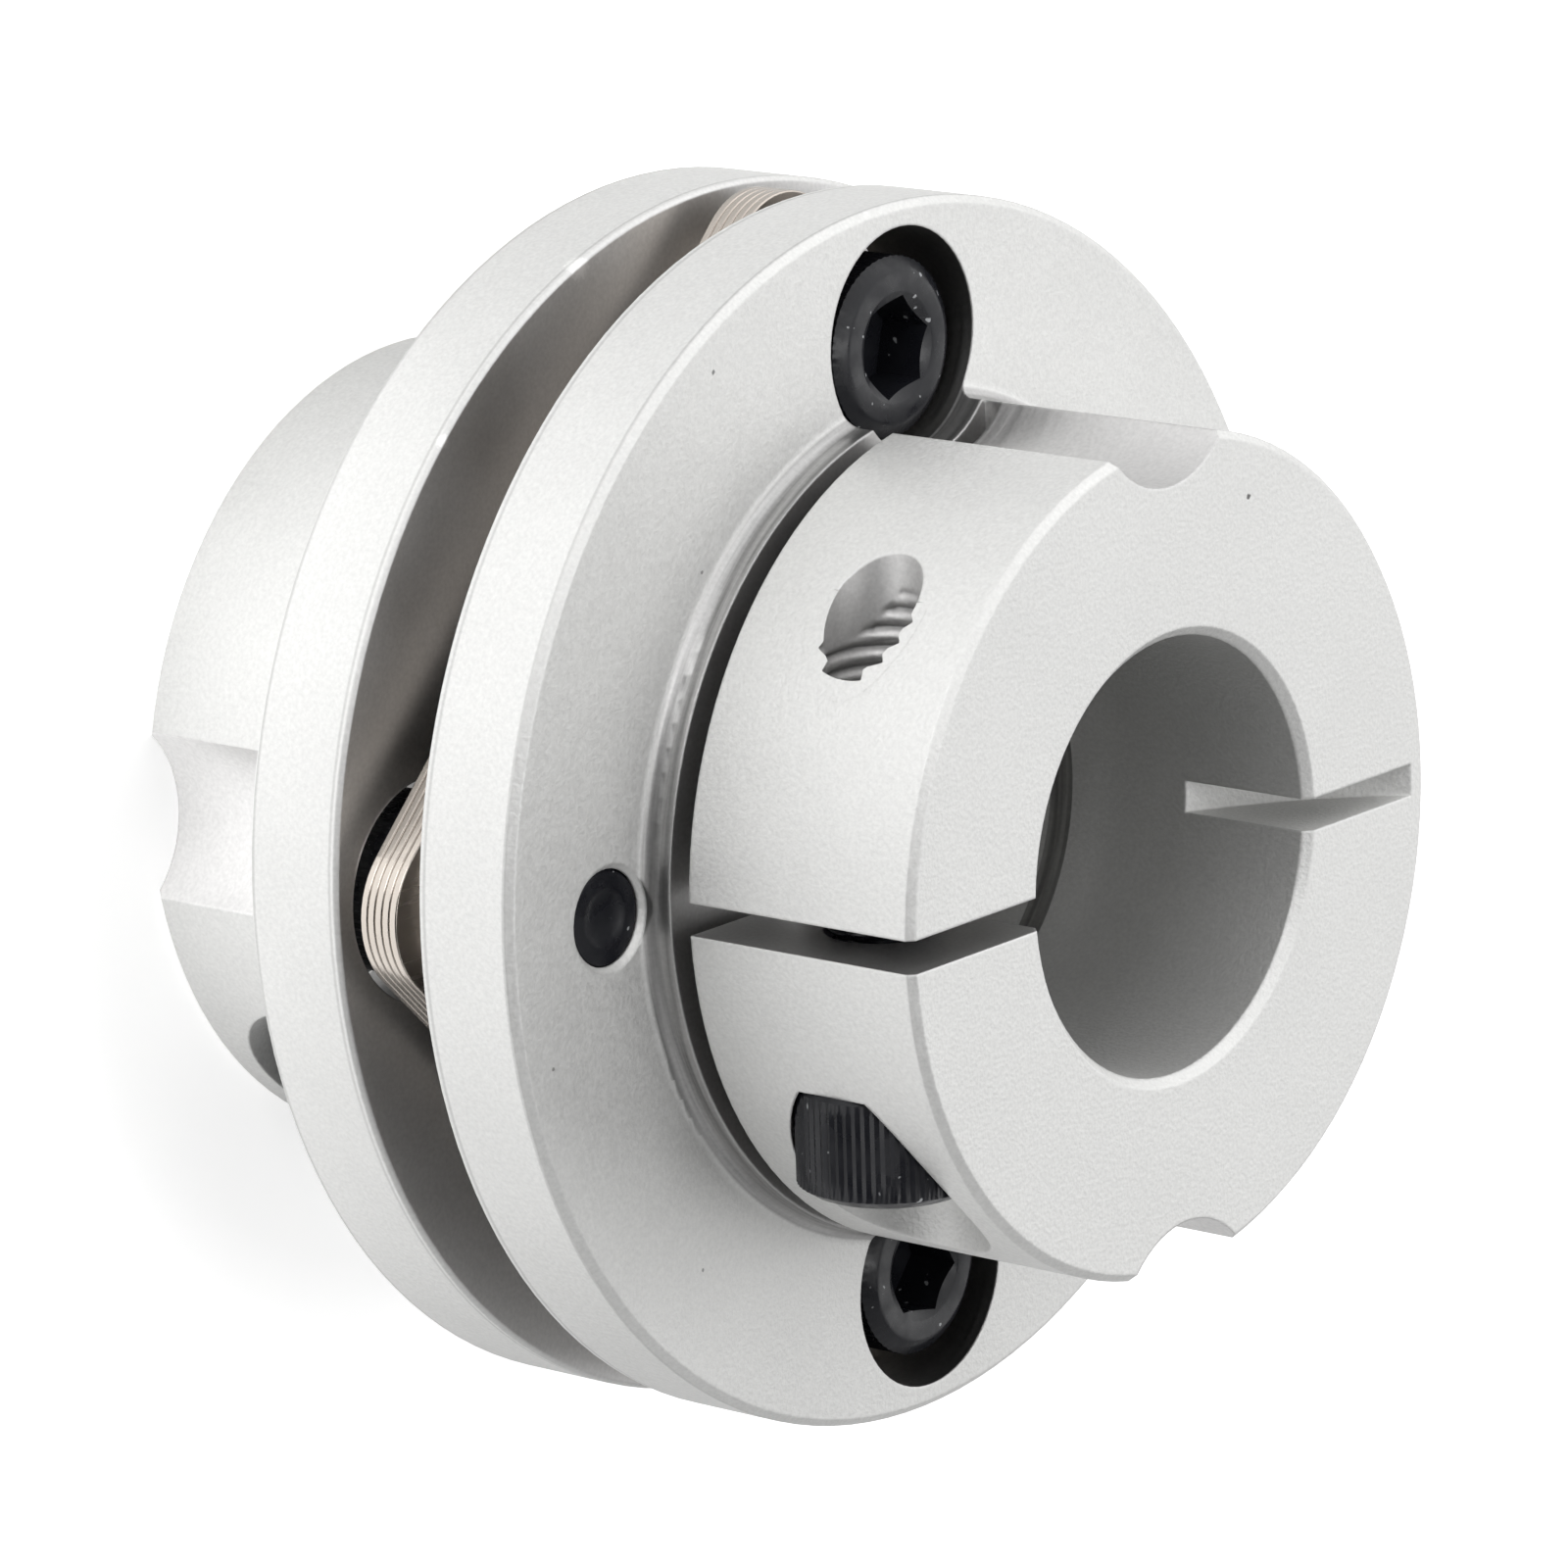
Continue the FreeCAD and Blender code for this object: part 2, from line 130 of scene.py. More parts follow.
class CouplingSizes(bpy.types.PropertyGroup):
    """Sizes that the screws, the threads and the zones of the finishes are made from."""
    shank_radius: size_of("Shank radius", 3.0, "Crest radius of the screws' thread")
    root_depth: size_of("Thread depth", 0.5, "Depth of the screws' thread")
    thread_pitch: size_of("Thread pitch", 1.0, "Rise of a thread in one turn")
    bore_crest: size_of("Tapped radius", 2.65, "Crest radius of the thread in a tapped hole")
    thread_end: size_of("Thread end", 16.6, "End of the clamp thread from the slit's plane")
    head_radius: size_of("Head radius", 5.0, "Radius of a screw's head")
    head_height: size_of("Head height", 6.0, "Height of a screw's head")
    head_bevel: size_of("Head bevel", 0.85, "Bevel round a head's top, measured across")
    bevel_depth: size_of("Bevel depth", 0.5, "The same bevel, measured down")
    tip_chamfer: size_of("Tip chamfer", 0.5, "Chamfer on a screw's tip")
    socket_flats: size_of("Socket flats", 5.0, "Width across the socket's flats")
    socket_depth: size_of("Socket depth", 3.2, "Depth of the socket")
    socket_mouth: size_of("Socket mouth", 3.05, "Radius of the bevel at the socket's mouth")
    knurl_depth: size_of("Knurl depth", 0.10, "Depth of the grooves on a head's side")
    knurl_count: IntProperty(name="Knurl ridges", default=60, min=12, max=120,
                             description="Number of ridges round a head")
    head_circle: size_of("Head circle", 26.5, "Radius of the head holes' circle")
    head_hole: size_of("Head hole", 6.2, "Radius of the holes round the far screws' heads")
    bore_radius: size_of("Bore radius", 12.0, "Radius of the shaft bore")
    hub_radius: size_of("Hub radius", 23.0, "Radius of the clamp section")
    flange_radius: size_of("Flange radius", 34.0, "Radius of a flange")
    flange_thick: size_of("Flange thickness", 6.4, "Thickness of a flange")
    slit_height: size_of("Cross slit height", 1.58, "Cross slit's floor above the flange")
    slit_width: size_of("Cross slit width", 1.35, "Width of the cross slit")
    slit_end: size_of("Cross slit end", 5.0, "Cross slit's end past the shaft axis")
    saw_width: size_of("Saw width", 1.8, "Width of the clamp slit")
    saw_shift: size_of("Saw shift", 0.3, "Clamp slit's middle off the shaft axis")
    clamp_offset: size_of("Clamp offset", 16.3, "Clamp screw's axis from the shaft axis")
    clamp_height: size_of("Clamp height", 10.55, "Clamp screw's axis above the flange")


class CouplingFinishes(bpy.types.PropertyGroup):
    """Colours and smoothness of the four finishes."""
    aluminium: colour_of("Aluminium", (0.71, 0.71, 0.70), "Blasted aluminium")
    machined: colour_of("Machined", (0.66, 0.655, 0.65), "Aluminium where a cutter left it bare")
    blasted_roughness: number_of("Blasted roughness", 0.57, "Roughness of the blasted faces")
    machined_roughness: number_of("Machined roughness", 0.42, "Roughness of the machined walls")
    metal_share: number_of("Metal share", 0.72,
                           "Mirror share of the blasted faces, the rest is dull")
    grain: number_of("Grain", 0.07, "Share by which the blasted grains differ in brightness")
    edge_softness: size_of("Edge softness", 0.22, "Rounding that blasting leaves on the edges")
    leaf: colour_of("Leaf steel", (0.50, 0.455, 0.41), "Rolled spring steel")
    washer: colour_of("Washer steel", (0.60, 0.57, 0.54), "Turned steel")
    screw: colour_of("Black oxide", (0.009, 0.0095, 0.0125), "Black oxide on the screws")
    screw_roughness: number_of("Screw roughness", 0.34, "Roughness of the black oxide")


class CouplingStudio(bpy.types.PropertyGroup):
    """Floor, light and camera."""
    floor_size: FloatProperty(name="Floor size", default=3.0, min=0.1, unit="LENGTH",
                              description="Side of the square floor")
    floor_colour: colour_of("Floor", (0.80, 0.80, 0.80), "Pale floor")
    floor_glow: number_of("Floor glow", 0.58,
                          "White added to the floor where the lens sees it", 2.0)
    floor_shine: number_of("Floor shine", 1.0, "Level of the floor's light pools", 3.0)
    sky: number_of("Sky", 1.0, "Level of the sky's light pools", 3.0)
    lamps: number_of("Lamps", 1.0, "Level of the lamps", 10.0)
    lamp_size: FloatProperty(name="Lamp size", default=0.35, min=0.01, unit="LENGTH",
                             description="Side of a lamp")
    lens: FloatProperty(name="Lens", default=196.35, min=10.0, unit="CAMERA",
                        description="Focal length on a 36 mm sensor")
    eye: FloatVectorProperty(name="Eye", default=(-0.3544, 0.1156, 0.3201), size=3,
                             subtype="XYZ", unit="LENGTH", description="Place of the camera")
    aim: FloatVectorProperty(name="Aim", default=(-0.00424, 0.00186, 0.03045), size=3,
                             subtype="XYZ", unit="LENGTH", description="Point it looks at")
    roll: FloatProperty(name="Roll", default=math.radians(99.455), subtype="ANGLE",
                        description="Turn of the camera about its own axis")


class Shader:
    """The node tree of a material or world, with a short call for each kind of node."""

    def __init__(self, owner, surface="Principled BSDF", place="Object"):
        self.owner = owner
        owner.use_nodes = True
        self.tree = owner.node_tree
        self.surface = self.tree.nodes[surface]
        coordinates = self.tree.nodes.new("ShaderNodeTexCoord")
        self.position = coordinates.outputs[place]
        split = self.tree.nodes.new("ShaderNodeSeparateXYZ")
        self.join(self.position, split.inputs[0])
        self.x, self.y, self.z = split.outputs

    def join(self, value, socket):
        """Link an output to a socket, or write a plain value into it."""
        if isinstance(value, bpy.types.NodeSocket):
            self.tree.links.new(value, socket)
        else:
            socket.default_value = value

    def math(self, operation, *values):
        """One step of arithmetic."""
        node = self.tree.nodes.new("ShaderNodeMath")
        node.operation = operation
        for value, socket in zip(values, node.inputs):
            self.join(value, socket)
        return node.outputs[0]

    def span(self, across, along):
        """Distance from the origin of a point with these two coordinates."""
        squares = (self.math("MULTIPLY", across, across), self.math("MULTIPLY", along, along))
        return self.math("SQRT", self.math("ADD", *squares))

    def off(self, value, centre):
        """A coordinate measured from a centre."""
        return self.math("SUBTRACT", value, centre)

    def below(self, value, limit, softness=SOFT_EDGE):
        """1 where the value is under the limit and 0 over it, with a narrow soft edge."""
        node = self.tree.nodes.new("ShaderNodeMapRange")
        self.join(value, node.inputs["Value"])
        node.inputs["From Min"].default_value = limit - softness
        node.inputs["From Max"].default_value = limit + softness
        node.inputs["To Min"].default_value = 1.0
        node.inputs["To Max"].default_value = 0.0
        return node.outputs["Result"]

    def above(self, value, limit, softness=SOFT_EDGE):
        """1 where the value is over the limit and 0 under it, with a narrow soft edge."""
        return self.math("SUBTRACT", 1.0, self.below(value, limit, softness))

    def near(self, value, middle, reach, softness=SOFT_EDGE):
        """1 where the value is within a reach of the middle, on both sides of it."""
        return self.below(self.math("ABSOLUTE", self.off(value, middle)), reach, softness)

    def mark(self, place, radius, ragged):
        """1 round a place in millimetres and 0 beyond a radius, with a ragged edge."""
        gap = self.tree.nodes.new("ShaderNodeVectorMath")
        gap.operation = "DISTANCE"
        self.join(self.position, gap.inputs[0])
        gap.inputs[1].default_value = [value * MM for value in place]
        reach = self.math("ADD", gap.outputs["Value"],
                          self.remap(ragged, 0.2, 0.8, -0.5 * radius * MM, 0.5 * radius * MM))
        return self.below(reach, radius * MM, 0.25 * radius * MM)

    def most(self, *values):
        """The largest of several masks."""
        result = values[0]
        for value in values[1:]:
            result = self.math("MAXIMUM", result, value)
        return result

    def both(self, *values):
        """The product of several masks."""
        result = values[0]
        for value in values[1:]:
            result = self.math("MULTIPLY", result, value)
        return result

    def noise(self, per_metre, detail=2.0, stretch=(1, 1, 1)):
        """Noise on object coordinates, finer with more waves to a metre."""
        mapping = self.tree.nodes.new("ShaderNodeMapping")
        self.join(self.position, mapping.inputs["Vector"])
        mapping.inputs["Scale"].default_value = stretch
        node = self.tree.nodes.new("ShaderNodeTexNoise")
        node.inputs["Scale"].default_value = per_metre
        node.inputs["Detail"].default_value = detail
        self.join(mapping.outputs[0], node.inputs["Vector"])
        return node.outputs[0]

    def toward(self, direction, start, full, level):
        """A smooth pool of light: none where the place's share along a direction is at its
        start, and the whole level where it is at its full value."""
        share = self.tree.nodes.new("ShaderNodeVectorMath")
        share.operation = "DOT_PRODUCT"
        self.join(self.position, share.inputs[0])
        share.inputs[1].default_value = Vector(direction).normalized()
        node = self.tree.nodes.new("ShaderNodeMapRange")
        node.interpolation_type = "SMOOTHSTEP"
        self.join(share.outputs["Value"], node.inputs["Value"])
        for name, number in (("From Min", start), ("From Max", full), ("To Max", level)):
            node.inputs[name].default_value = number
        return node.outputs["Result"]

    def total(self, values):
        """The sum of several numbers."""
        result = values[0]
        for value in values[1:]:
            result = self.math("ADD", result, value)
        return result

    def seen_by(self, *rays):
        """1 for the named kinds of ray and 0 for the others."""
        path = self.tree.nodes.new("ShaderNodeLightPath")
        return self.most(*(path.outputs[f"Is {ray} Ray"] for ray in rays))

    def remap(self, value, low, high, out_low, out_high):
        """The value's range taken to another range."""
        node = self.tree.nodes.new("ShaderNodeMapRange")
        self.join(value, node.inputs["Value"])
        for name, number in (("From Min", low), ("From Max", high),
                             ("To Min", out_low), ("To Max", out_high)):
            self.join(number, node.inputs[name])
        return node.outputs["Result"]

    def mix(self, mask, first, second):
        """First where the mask is 0, second where it is 1, for colours."""
        node = self.tree.nodes.new("ShaderNodeMix")
        node.data_type = "RGBA"
        self.join(mask, node.inputs["Factor"])
        for value, name in ((first, "A"), (second, "B")):
            socket = next(s for s in node.inputs if s.name == name and s.type == "RGBA")
            self.join(value if isinstance(value, bpy.types.NodeSocket) else (*value, 1.0), socket)
        return next(s for s in node.outputs if s.type == "RGBA")

    def blend(self, mask, first, second):
        """First where the mask is 0, second where it is 1, for numbers."""
        node = self.tree.nodes.new("ShaderNodeMix")
        self.join(mask, node.inputs["Factor"])
        self.join(first, node.inputs["A"])
        self.join(second, node.inputs["B"])
        return node.outputs["Result"]

    def bump(self, height, metres, strength=1.0, softened=0.0):
        """Small relief on the surface, from a height between 0 and 1, with softened edges."""
        node = self.tree.nodes.new("ShaderNodeBump")
        node.inputs["Strength"].default_value = strength
        node.inputs["Distance"].default_value = metres
        self.join(height, node.inputs["Height"])
        if softened:
            rounding = self.tree.nodes.new("ShaderNodeBevel")
            rounding.samples = 6
            rounding.inputs["Radius"].default_value = softened
            self.join(rounding.outputs[0], node.inputs["Normal"])
        self.join(node.outputs[0], self.surface.inputs["Normal"])

    def set(self, name, value):
        """Link or write one of the surface's sockets."""
        if isinstance(value, tuple):
            value = (*value, 1.0)
        self.join(value, self.surface.inputs[name])


def hub_zones(look, hub):
    """Masks of the zones of a hub's finish and of its painted shade, with the distance from its
    clamp screw's axis.

    They are found by distance: from the axes of the screw head holes, the bore and the clamp
    screw, and from the planes of the slits and the flange's faces.
    """
    sizes = bpy.context.scene.coupling_sizes
    low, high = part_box(hub)
    if hub == "front_hub":
        across, along, rise = look.x, look.y, look.off(look.z, low.z)
    else:
        across, along, rise = look.y, look.x, look.math("SUBTRACT", high.z, look.z)
    radius = look.span(look.x, look.y)
    thick = sizes.flange_thick

    head_axis = look.off(look.math("ABSOLUTE", along), sizes.head_circle)
    head_holes = look.below(look.span(across, head_axis), sizes.head_hole + SOFT_EDGE)
    # Painted shade: the head holes are darkened where they pass through the flange.
    deep_hole_shade = look.both(head_holes, look.below(rise, thick - 2 * SKIN))
    # The bore's mask also paints shade: the bore is made a little darker.
    bore = look.below(radius, sizes.bore_radius + 2 * SKIN)
    face = look.below(rise, SKIN)

    in_hub = look.both(look.below(radius, sizes.hub_radius - SKIN),
                       look.above(rise, thick + 2 * SKIN))
    half_saw = sizes.saw_width / 2 + SOFT_EDGE
    slit_walls = look.both(in_hub, look.near(along, -sizes.saw_shift, half_saw),
                           look.below(across, -sizes.bore_radius + 2 * SKIN))
    slit_floor = thick + sizes.slit_height
    slit_middle = slit_floor + sizes.slit_width / 2
    cross_slit = look.both(in_hub,
                           look.near(rise, slit_middle, sizes.slit_width / 2 + SOFT_EDGE),
                           look.below(across, sizes.slit_end + SOFT_EDGE))
    screw_axis = look.span(look.off(across, -sizes.clamp_offset),
                           look.off(rise, thick + sizes.clamp_height))
    screw_hole = look.both(in_hub, look.below(screw_axis, sizes.shank_radius + 2 * SKIN))

    root = look.both(look.below(radius, sizes.hub_radius + ROOT_BAND),
                     look.above(rise, thick + ROOT_START), look.below(rise, slit_floor))
    edge = look.math("SUBTRACT", thick / 2, look.math("ABSOLUTE", look.off(rise, thick / 2)))
    # A thin line of painted shade round the rim, near each face.
    rim_shade_line = look.both(look.above(radius, sizes.flange_radius - RIM_BAND),
                          look.near(edge, RIM_SHADE_MIDDLE, RIM_SHADE_HALF, SKIN))
    sawn = look.most(slit_walls, cross_slit, root)
    turned = look.most(head_holes, screw_hole, face)
    return SimpleNamespace(deep_hole_shade=deep_hole_shade, bore=bore, screw_axis=screw_axis,
                           screw_hole=screw_hole, root=root, rim_shade_line=rim_shade_line, sawn=sawn,
                           turned=turned, machined=look.most(sawn, turned))


def blasted_aluminium(hub):
    """Fine bead-blasted aluminium, streaked where a cutter went last, with a few small marks,
    and painted shade in the thread's grooves, the deep head holes, the bore, the crease at the
    clamp section's root and along a line on the rim.
    """
    sizes = bpy.context.scene.coupling_sizes
    finish = bpy.context.scene.coupling_finishes
    look = Shader(bpy.data.materials.new(f"{hub}_aluminium"))
    zone = hub_zones(look, hub)

    grains = look.noise(per_metre=4200.0, detail=1.5)
    rings = look.noise(per_metre=2600.0, detail=3.0, stretch=(0.03, 0.03, 1))
    clouds = look.noise(per_metre=120.0, detail=3.0)
    tone = look.math("MULTIPLY", look.remap(clouds, 0.3, 0.7, 0.985, 1.015),
                     look.remap(grains, 0.25, 0.75, 1.0 - finish.grain, 1.0 + finish.grain))
    # Painted shade in the tapped hole: the deeper a thread groove goes, the darker it is.
    groove = look.remap(zone.screw_axis, sizes.bore_crest, sizes.shank_radius, 1.0, 0.42)
    # Tool lines on the root band, which also darken it as painted shade of the crease.
    streaks_and_shade = look.remap(rings, 0.35, 0.65, 0.42, 0.75)
    marks = [look.blend(look.mark(place, radius, grains), 1.0, level)
             for place, radius, level in MARKS[hub]]
    tone = look.both(tone, look.blend(zone.screw_hole, 1.0, groove),
                     look.blend(zone.root, 1.0, streaks_and_shade), look.blend(zone.deep_hole_shade, 1.0, 0.4),
                     look.blend(zone.bore, 1.0, 0.92), look.blend(zone.rim_shade_line, 1.0, 0.8),
                     *marks)
    bright = look.mix(zone.machined, tuple(finish.aluminium), tuple(finish.machined))
    scaled = look.tree.nodes.new("ShaderNodeVectorMath")
    scaled.operation = "SCALE"
    look.join(bright, scaled.inputs[0])
    look.join(tone, scaled.inputs["Scale"])
    look.set("Base Color", scaled.outputs[0])
    look.set("Metallic", look.blend(zone.machined, finish.metal_share, 1.0))
    blasted = look.remap(grains, 0.25, 0.75, finish.blasted_roughness - 0.05,
                         finish.blasted_roughness + 0.05)
    bored = look.blend(zone.bore, blasted, finish.blasted_roughness * 0.85)
    reamed = look.remap(rings, 0.3, 0.7, finish.machined_roughness - 0.04,
                        finish.machined_roughness + 0.08)
    cut = look.blend(zone.screw_hole, look.blend(zone.turned, bored, reamed), 0.58)
    look.set("Roughness", look.blend(zone.sawn, cut, 0.42))
    relief = look.blend(zone.machined, grains, look.remap(rings, 0.0, 1.0, 0.35, 0.65))
    look.bump(relief, 0.05 * MM, 0.55, finish.edge_softness)
    return look.owner


def spring_steel():
    """Rolled steel of the leaves: warm, smooth, with faint rolling lines along X."""
    finish = bpy.context.scene.coupling_finishes
    look = Shader(bpy.data.materials.new("leaf_spring_steel"))
    look.set("Base Color", tuple(finish.leaf))
    look.set("Metallic", 1.0)
    lines = look.noise(per_metre=2600.0, detail=3.0, stretch=(0.05, 1, 1))
    look.set("Roughness", look.remap(lines, 0.3, 0.7, 0.16, 0.30))
    look.bump(lines, 0.01 * MM, 0.3)
    return look.owner


def turned_steel():
    """Plain turned steel of the washers."""
    finish = bpy.context.scene.coupling_finishes
    look = Shader(bpy.data.materials.new("washer_turned_steel"))
    look.set("Base Color", tuple(finish.washer))
    look.set("Metallic", 1.0)
    patches = look.noise(per_metre=1800.0, detail=2.0)
    look.set("Roughness", look.remap(patches, 0.3, 0.7, 0.22, 0.34))
    return look.owner


def black_oxide():
    """Oiled black oxide with a few bright worn points."""
    finish = bpy.context.scene.coupling_finishes
    look = Shader(bpy.data.materials.new("screw_black_oxide"))
    dust = look.noise(per_metre=1500.0, detail=1.0)
    worn = look.remap(dust, 0.735, 0.76, 0.0, 1.0)
    look.set("Base Color", look.mix(worn, tuple(finish.screw), (0.32, 0.33, 0.34)))
    look.set("Metallic", 0.0)
    look.set("Specular IOR Level", 0.34)
    patches = look.noise(per_metre=700.0, detail=3.0)
    look.set("Roughness", look.remap(patches, 0.35, 0.65, finish.screw_roughness - 0.14,
                                     finish.screw_roughness + 0.12))
    look.bump(look.noise(per_metre=2200.0, detail=3.0), 0.02 * MM, 0.6)
    return look.owner


def grid_mesh(name, points, close_first=False, close_last=False, loop=True):
    """A mesh on a grid of points, row by row.

    Each row is a ring and joins the next row with four-sided faces. A closed end is a fan to
    the mean of its last row.
    """
    rows, columns = points.shape[:2]
    vertices = points.reshape(-1, 3)
    index = np.arange(rows * columns).reshape(rows, columns)
    following = np.roll(index, -1, axis=1) if loop else index[:, 1:]
    here = index if loop else index[:, :-1]
    quads = np.stack([here[:-1], following[:-1], following[1:], here[1:]], axis=-1)
    quads = quads.reshape(-1, 4)
    ends = []
    if close_first:
        vertices = np.vstack([vertices, points[0].mean(axis=0)])
        middle = np.full(columns, len(vertices) - 1)
        ends.append(np.stack([middle, np.roll(index[0], -1), index[0]], axis=1))
    if close_last:
        vertices = np.vstack([vertices, points[-1].mean(axis=0)])
        middle = np.full(columns, len(vertices) - 1)
        ends.append(np.stack([middle, index[-1], np.roll(index[-1], -1)], axis=1))
    mesh = bpy.data.meshes.new(name)
    faces = quads.tolist() + [face for fan in ends for face in fan.tolist()]
    mesh.from_pydata(vertices.tolist(), [], faces)
    mesh.polygons.foreach_set("use_smooth", np.ones(len(mesh.polygons), bool))
    mesh.set_sharp_from_angle(angle=SHARP_ANGLE)
    mesh.validate()
    mesh.update()
    return mesh


def new_piece(name, mesh, material):
    """An object at the origin that rides on the coupling and takes its finish from a slot."""
    piece = bpy.data.objects.new(name, mesh)
    bpy.context.scene.collection.objects.link(piece)
    mesh.materials.append(material)
    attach(piece, "root")
    return piece


def wave(turns):
    """A zigzag between 0 and 1 that repeats once for each whole number."""
    return 1 - np.abs(2 * (turns % 1.0) - 1)


def screw_points(length):
    """Ring points of a cap screw in its own frame: seat on z = 0, head up, shank down.

    Each ring is a radius and a height for every angle. On the shank the radius is the crest
    less the depth times a zigzag of height over pitch less angle over a turn, a helix. On the
    head's side it is the head's radius less the knurl's depth times a zigzag of the angle.
    In the socket it is the hexagon's: half the flats over the cosine of the angle to the flat.
    """
    sizes = bpy.context.scene.coupling_sizes
    count = sizes.knurl_count * 4
    angle = np.arange(count) * WHOLE_TURN / count
    one = np.ones(count)
    crest, chamfer = sizes.shank_radius, sizes.tip_chamfer
    radii, heights = [], []

    steps = np.linspace(-length, -BARE_SHANK, int(round(length / sizes.thread_pitch * 8)))
    turns = steps[:, None] / sizes.thread_pitch - angle[None, :] / WHOLE_TURN
    thread = crest - sizes.root_depth * np.clip(1.35 * wave(turns) - 0.2, 0, 1)
    limit = crest - chamfer + (steps + length)
    fade = np.clip((-steps - BARE_SHANK) / sizes.thread_pitch, 0, 1)[:, None]
    thread = crest - (crest - thread) * fade
    shank = np.minimum(thread, np.maximum(limit, crest - chamfer)[:, None])
    # The dimple in the tip, as radius and depth in millimetres.
    dimple = [(0.5, 0.28), (1.0, 0.24), (1.4, 0.12), (1.6, 0.02), (1.8, 0.0)]
    radii += [one * radius * MM for radius, _ in dimple] + list(shank) + [one * crest]
    heights += [(depth * MM - length) * one for _, depth in dimple]
    heights += [step * one for step in steps] + [0 * one]

    head, top = sizes.head_radius, sizes.head_height
    ridge = wave(angle * sizes.knurl_count / WHOLE_TURN) * sizes.knurl_depth
    edge = top - sizes.bevel_depth
    radii += [one * (crest + 0.35 * MM)]
    heights += [0 * one]
    # The head's lower edge, as height and inset in millimetres and share of the knurl.
    for height, inset, strength in ((0.0, 0.25, 0.0), (0.22, 0.02, 0.3), (0.55, 0.0, 1.0)):
        radii.append(head - inset * MM - ridge * strength)
        heights.append(height * MM * one)
    for height in np.linspace(0.9 * MM, edge - 0.1 * MM, 6):
        radii.append(head - ridge)
        heights.append(height * one)
    inner = head - sizes.head_bevel
    # The bevel, as share of its width and share of the knurl.
    for share, strength in ((0.0, 0.5), (0.2, 0.1), (0.55, 0.0), (0.85, 0.0), (1.0, 0.0)):
        radii.append(head + (inner - head) * share - ridge * strength)
        heights.append((edge + sizes.bevel_depth * min(1.0, share * 1.08)) * one)
    for radius in (inner - 0.15 * MM, sizes.socket_mouth + 0.06 * MM):
        radii.append(one * radius)
        heights.append(top * one)

    flat = np.abs(((angle + WHOLE_TURN / 12) % (WHOLE_TURN / 6)) - WHOLE_TURN / 12)
    turned = WHOLE_TURN / 12 - flat
    hexagon = sizes.socket_flats / 2 / np.cos(turned)
    slope = 1 / math.sqrt(3)
    mouth = top - 0.03 * MM
    radii.append(one * (sizes.socket_mouth - 0.02 * MM))
    heights.append(mouth * one)
    radii.append(hexagon)
    heights.append(top - (sizes.socket_mouth - hexagon) * slope)
    floor = top - sizes.socket_depth
    for share in (0.2, 0.6, 1.0):
        rim = top - (sizes.socket_mouth - hexagon) * slope
        radii.append(hexagon)
        heights.append(rim + (floor - rim) * share)
    radii.append(hexagon * 0.6)
    heights.append(floor * one)

    ring, rise = np.array(radii), np.array(heights)
    return np.stack([ring * np.cos(angle), ring * np.sin(angle), rise], axis=-1)


def placed(points, matrix):
    """Grid points taken through a matrix."""
    turn = np.array(matrix.to_3x3())
    return points @ turn.T + np.array(matrix.translation)


def screw_place(node):
    """Where a screw stands: its seat's place and its turn, from the node's own box.

    A head on +Z is unturned, the others are turned to point their head the right way. The
    socket's own turn about the axis comes first.
    """
    low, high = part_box(node)
    middle = (low + high) / 2
    height = bpy.context.scene.coupling_sizes.head_height
    if node == "front_clamp_screw":
        return Matrix.Translation((middle.x, low.y + height, middle.z)) @ Matrix.Rotation(
            WHOLE_TURN / 4, 4, "X")
    if node == "rear_clamp_screw":
        return Matrix.Translation((low.x + height, middle.y, middle.z)) @ Matrix.Rotation(
            -WHOLE_TURN / 4, 4, "Y")
    spin = Matrix.Rotation(math.radians(15 if node.endswith("1") else -10), 4, "Z")
    if node.startswith("front"):
        return Matrix.Translation((middle.x, middle.y, high.z - height)) @ spin
    turn = Matrix.Rotation(WHOLE_TURN / 2, 4, "X")
    return Matrix.Translation((middle.x, middle.y, low.z + height)) @ turn @ spin


def clamp_thread_radius(along, angle):
    """Radius of the thread in a clamp ear at a length and an angle.

    It is the crest plus the depth times a zigzag of length over pitch less angle over a turn.
    The depth fades out before the thread's end, sooner on the side of the flange. The crest
    stands just inside the drilled hole's wall and hides it.
    """
    sizes = bpy.context.scene.coupling_sizes
    crest = sizes.bore_crest - THREAD_INSET
    past_end = (0.2 + 3.0 * np.sin(angle)) * MM
    reach = sizes.thread_end + np.minimum(0, past_end)
    fade = np.clip((reach - along) / (0.5 * sizes.thread_pitch), 0, 1)
    turns = along / sizes.thread_pitch - angle / WHOLE_TURN
    groove = np.clip(1.6 * wave(turns) - 0.5, 0, 1)
    return crest + (sizes.shank_radius - sizes.bore_crest) * fade * groove


def clamp_mouth(angle):
    """Length and radius at which the thread first comes out of the hub's round surface.

    Along each line the first point counts whose distance from the shaft axis, the root of
    its across and along squared, is over the hub's radius.
    """
    sizes = bpy.context.scene.coupling_sizes
    along = np.linspace(0, sizes.hub_radius, 6000)[:, None]
    radius = clamp_thread_radius(along, angle[None, :])
    across = -sizes.clamp_offset + radius * np.cos(angle)
    first = (np.hypot(across, along) > sizes.hub_radius).argmax(axis=0)
    return along[first, 0], radius[first, np.arange(len(angle))]


